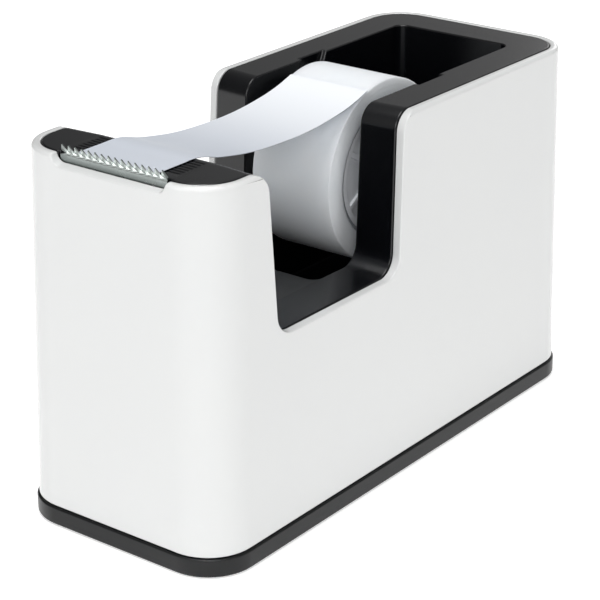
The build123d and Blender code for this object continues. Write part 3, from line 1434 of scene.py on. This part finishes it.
@dataclass
class HiddenParts:
    """CAD parts whose shape is right as it is: they only get their real finish."""

    finishes: dict[str, Finish] = field(
        default_factory=lambda: {
            "anti_slip_mat": Elastomer(
                "ribbed_nitrile_mat", "#1B1B1C", "#202122", 0.8, cell=1.6, depth=0.12
            ),
            "base_screws": RolledSteel("zinc_plated_steel", "#B5B7B2", "#A2A59C", 0.32, patch=2.0),
            "ballast_front": CastMetal("grey_cast_iron", "#4A4B4D", "#3C3D3F", 0.6),
            "ballast_floor": CastMetal("grey_cast_iron_slab", "#4C4D4F", "#3D3E40", 0.6),
            "ballast_pads": Elastomer("grey_foam", "#55575A", "#4A4C4F", 0.9),
        }
    )

    def dress(self) -> None:
        """Put each finish into its node's material slots."""
        for name, finish in self.finishes.items():
            made = finish.material()
            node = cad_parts[name]
            if not node.material_slots:
                node.data.materials.append(made)
            for place in node.material_slots:
                place.material = made
            log.info("%s: kept from the CAD with %s", name, made.name)


# ---------------------------------------------------------------- the studio


@dataclass
class Studio:
    """A lit acrylic table, a pale room and large softboxes in front, on the right and behind."""

    floor_half: float = 4.0
    room: float = 0.33
    room_left: float = 0.1
    room_turn: Pair = (-0.73, -0.53)
    table_glow: float = 0.5
    lamps: tuple[tuple[Point, float, float], ...] = (
        ((0.0, -1.3, 0.75), 0.9, 2.4),
        ((1.3, -0.1, 0.7), 0.9, 1.1),
        ((0.75, -1.05, 0.6), 0.5, 4.5),
        ((-0.42, 1.36, 0.5), 0.5, 1.2),
        ((0.0, -0.2, 1.6), 0.9, 15.5),
    )
    target: Point = (0.0, 0.0, 0.04)
    streak: Point = (0.0555, -0.132, 0.5)
    streak_size: Pair = (0.03, 0.16)
    streak_turn: float = 26.8
    streak_spread: float = 4.0
    streak_power: float = 0.008
    lens: float = 125.56
    sensor: float = 36.0
    view_end: float = 20.0
    eye: Point = (239.41, -319.58, 196.67)
    look: Point = (-82.05, 103.47, -24.49)

    def hang(self, name: str, place: Point, size: Pair, power: float) -> Object:
        """Hang a lamp that faces down and that the camera doesn't see.

        Args:
            name: The lamp's name.
            place: Where it hangs, in metres.
            size: Its two sides.
            power: Its power in watts.

        Returns:
            The lamp's object.
        """
        lamp = bpy.data.lights.new(name, "AREA")
        lamp.shape = "RECTANGLE"
        lamp.size, lamp.size_y = size
        lamp.energy = power
        holder = bpy.data.objects.new(name, lamp)
        holder.location = place
        holder.visible_camera = False
        bpy.context.scene.collection.objects.link(holder)
        return holder

    def light(self) -> None:
        """Set up the room, the floor and the lamps."""
        scene = bpy.context.scene
        world = bpy.data.worlds.new("white_room")
        world.use_nodes = True
        tree = world.node_tree
        seen = add_node(tree, "ShaderNodeLightPath").outputs["Is Camera Ray"]
        way = add_node(tree, "ShaderNodeTexCoord").outputs["Generated"]
        across = add_node(tree, "ShaderNodeSeparateXYZ", {}, {0: way}).outputs[0]
        dark, pale = self.room_turn
        shades = {1: dark, 2: pale, 3: self.room_left, 4: self.room}
        side = add_node(tree, "ShaderNodeMapRange", shades, {0: across}).outputs[0]
        level = add_node(tree, "ShaderNodeMapRange", {4: 1.0}, {0: seen, 3: side}).outputs[0]
        backdrop = tree.nodes["Background"]
        backdrop.inputs[0].default_value = (1.0, 1.0, 1.0, 1.0)
        tree.links.new(level, backdrop.inputs[1])
        scene.world = world
        scene.view_settings.view_transform = "Standard"
        bm = bmesh.new()
        bmesh.ops.create_grid(bm, x_segments=8, y_segments=8, size=self.floor_half)
        mesh = bpy.data.meshes.new("floor")
        bm.to_mesh(mesh)
        bm.free()
        floor = bpy.data.objects.new("floor", mesh)
        scene.collection.objects.link(floor)
        table = Finish("white_acrylic_table", "#EDEDED", "#EBEBEB", 0.9, patch=60.0).material()
        shader = table.node_tree.nodes["Principled BSDF"]
        shader.inputs["Emission Color"].default_value = (1.0, 1.0, 1.0, 1.0)
        shader.inputs["Emission Strength"].default_value = self.table_glow
        floor.data.materials.append(table)
        for index, (place, size, power) in enumerate(self.lamps):
            softbox = self.hang(f"softbox_{index}", place, (size, size), power)
            aim = Vector(self.target) - Vector(place)
            softbox.rotation_euler = aim.to_track_quat("-Z", "Y").to_euler()
        strip = self.hang("gridded_strip", self.streak, self.streak_size, self.streak_power)
        strip.data.spread = math.radians(self.streak_spread)
        strip.rotation_euler.z = math.radians(self.streak_turn)

    def camera(self) -> None:
        """Stand the camera off the front right corner, above the rim."""
        lens = bpy.data.cameras.new("camera")
        lens.lens = self.lens
        lens.sensor_width = self.sensor
        lens.clip_end = self.view_end
        holder = bpy.data.objects.new("camera", lens)
        place, target = Vector(self.eye) * MM, Vector(self.look) * MM
        holder.location = place
        holder.rotation_euler = (target - place).to_track_quat("-Z", "Y").to_euler()
        bpy.context.scene.collection.objects.link(holder)
        bpy.context.scene.camera = holder


def main() -> None:
    """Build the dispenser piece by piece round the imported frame."""
    logging.basicConfig(level=logging.INFO, format="%(name)s: %(message)s")
    band_low, band_high = (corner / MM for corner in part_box("base_tray"))
    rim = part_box("outer_shell")[1].z / MM
    roll_low, roll_high = (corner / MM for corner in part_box("tape_roll"))
    axle = ((roll_low.y + roll_high.y) / 2, (roll_low.z + roll_high.z) / 2)
    outside = (roll_high.y - roll_low.y) / 2

    form = Form(band_high.x - band_low.x, band_high.y - band_low.y, rim)
    notch = Notch(rim)
    seat = BladeSeat()
    for part in (
        Shell(form, notch),
        Liner(form, notch, seat, axle),
        Base(form),
        Blade(seat),
        Hub(axle),
        TapeRoll(axle, outside),
        FreeTape(axle, outside, rim),
    ):
        part.dress(part.build())
    HiddenParts().dress()
    studio = Studio()
    studio.light()
    studio.camera()


def corners(box: Sequence[Sequence[float]]) -> list[list[float]]:
    """A box's corners as plain lists of numbers."""
    return [[float(number) for number in corner] for corner in box]


if __name__ == "__main__":
    main()
